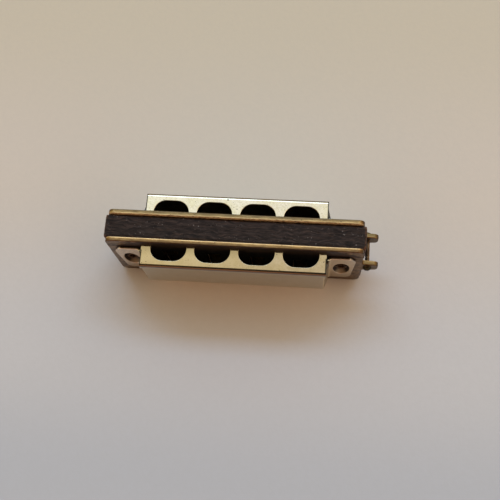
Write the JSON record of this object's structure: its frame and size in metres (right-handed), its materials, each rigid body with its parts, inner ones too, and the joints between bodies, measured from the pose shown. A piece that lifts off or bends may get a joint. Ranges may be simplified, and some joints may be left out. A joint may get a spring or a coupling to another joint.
{
  "type": "miniature harmonica",
  "caption": "Miniature key-ring harmonica: dark wooden comb between brass reed plates, with arched-back nickel covers and a pinned lug at one end.",
  "frame": {"origin": "middle of the mouthpiece face, on the surface that the harmonica stands on", "axes": "+X along the length towards the lug, +Y from the blow plate to the draw plate, +Z from the mouthpiece to the solid back"},
  "size_m": [0.0384, 0.011, 0.0134],
  "materials": {
    "comb_wood": "dark stained hardwood, worn and chipped along the edges",
    "plate_brass": "tarnished brass, brighter along the sheared edges",
    "cover_nickel": "aged nickel plate, slightly yellow and pitted",
    "reed_brass": "filed spring brass",
    "rivet_brass": "small domed brass rivets",
    "nail_steel": "dull steel nails",
    "eyelet_brass": "darkened rolled eyelet",
    "pin_bronze": "dark greenish bronze, peened ends"
  },
  "bodies": {
    "harmonica_body": {"comb": "comb_wood", "reed_plate_blow": "plate_brass", "reed_plate_draw": "plate_brass", "cover_blow": "cover_nickel", "cover_draw": "cover_nickel", "blow_reed_pads": "reed_brass", "draw_reed_pads": "reed_brass", "blow_reed_rivets": "rivet_brass", "draw_reed_rivets": "rivet_brass", "blow_plate_nails": "nail_steel", "draw_plate_nails": "nail_steel", "eyelet_left": "eyelet_brass", "eyelet_right": "eyelet_brass", "ring_pin": "pin_bronze"},
    "blow_tongue_1": {"blow_reed_1": "reed_brass"},
    "blow_tongue_2": {"blow_reed_2": "reed_brass"},
    "blow_tongue_3": {"blow_reed_3": "reed_brass"},
    "blow_tongue_4": {"blow_reed_4": "reed_brass"},
    "draw_tongue_1": {"draw_reed_1": "reed_brass"},
    "draw_tongue_2": {"draw_reed_2": "reed_brass"},
    "draw_tongue_3": {"draw_reed_3": "reed_brass"},
    "draw_tongue_4": {"draw_reed_4": "reed_brass"}
  },
  "joints": [
    {"name": "blow_1_swing", "type": "hinge", "parent": "harmonica_body", "child": "blow_tongue_1", "pos_m": [-0.00918, -0.00161, 0.0026], "axis": [1, 0, 0], "range_deg": [-4, 4], "stiffness_Nm_per_rad": 0.00004},
    {"name": "blow_2_swing", "type": "hinge", "parent": "harmonica_body", "child": "blow_tongue_2", "pos_m": [-0.00306, -0.00161, 0.0026], "axis": [1, 0, 0], "range_deg": [-4, 4], "stiffness_Nm_per_rad": 0.00004},
    {"name": "blow_3_swing", "type": "hinge", "parent": "harmonica_body", "child": "blow_tongue_3", "pos_m": [0.00306, -0.00161, 0.0026], "axis": [1, 0, 0], "range_deg": [-4, 4], "stiffness_Nm_per_rad": 0.00004},
    {"name": "blow_4_swing", "type": "hinge", "parent": "harmonica_body", "child": "blow_tongue_4", "pos_m": [0.00918, -0.00161, 0.0026], "axis": [1, 0, 0], "range_deg": [-4, 4], "stiffness_Nm_per_rad": 0.00004},
    {"name": "draw_1_swing", "type": "hinge", "parent": "harmonica_body", "child": "draw_tongue_1", "pos_m": [-0.00918, 0.00245, 0.0097], "axis": [1, 0, 0], "range_deg": [-4, 4], "stiffness_Nm_per_rad": 0.00004},
    {"name": "draw_2_swing", "type": "hinge", "parent": "harmonica_body", "child": "draw_tongue_2", "pos_m": [-0.00306, 0.00245, 0.0097], "axis": [1, 0, 0], "range_deg": [-4, 4], "stiffness_Nm_per_rad": 0.00004},
    {"name": "draw_3_swing", "type": "hinge", "parent": "harmonica_body", "child": "draw_tongue_3", "pos_m": [0.00306, 0.00245, 0.0097], "axis": [1, 0, 0], "range_deg": [-4, 4], "stiffness_Nm_per_rad": 0.00004},
    {"name": "draw_4_swing", "type": "hinge", "parent": "harmonica_body", "child": "draw_tongue_4", "pos_m": [0.00918, 0.00245, 0.0097], "axis": [1, 0, 0], "range_deg": [-4, 4], "stiffness_Nm_per_rad": 0.00004}
  ]
}
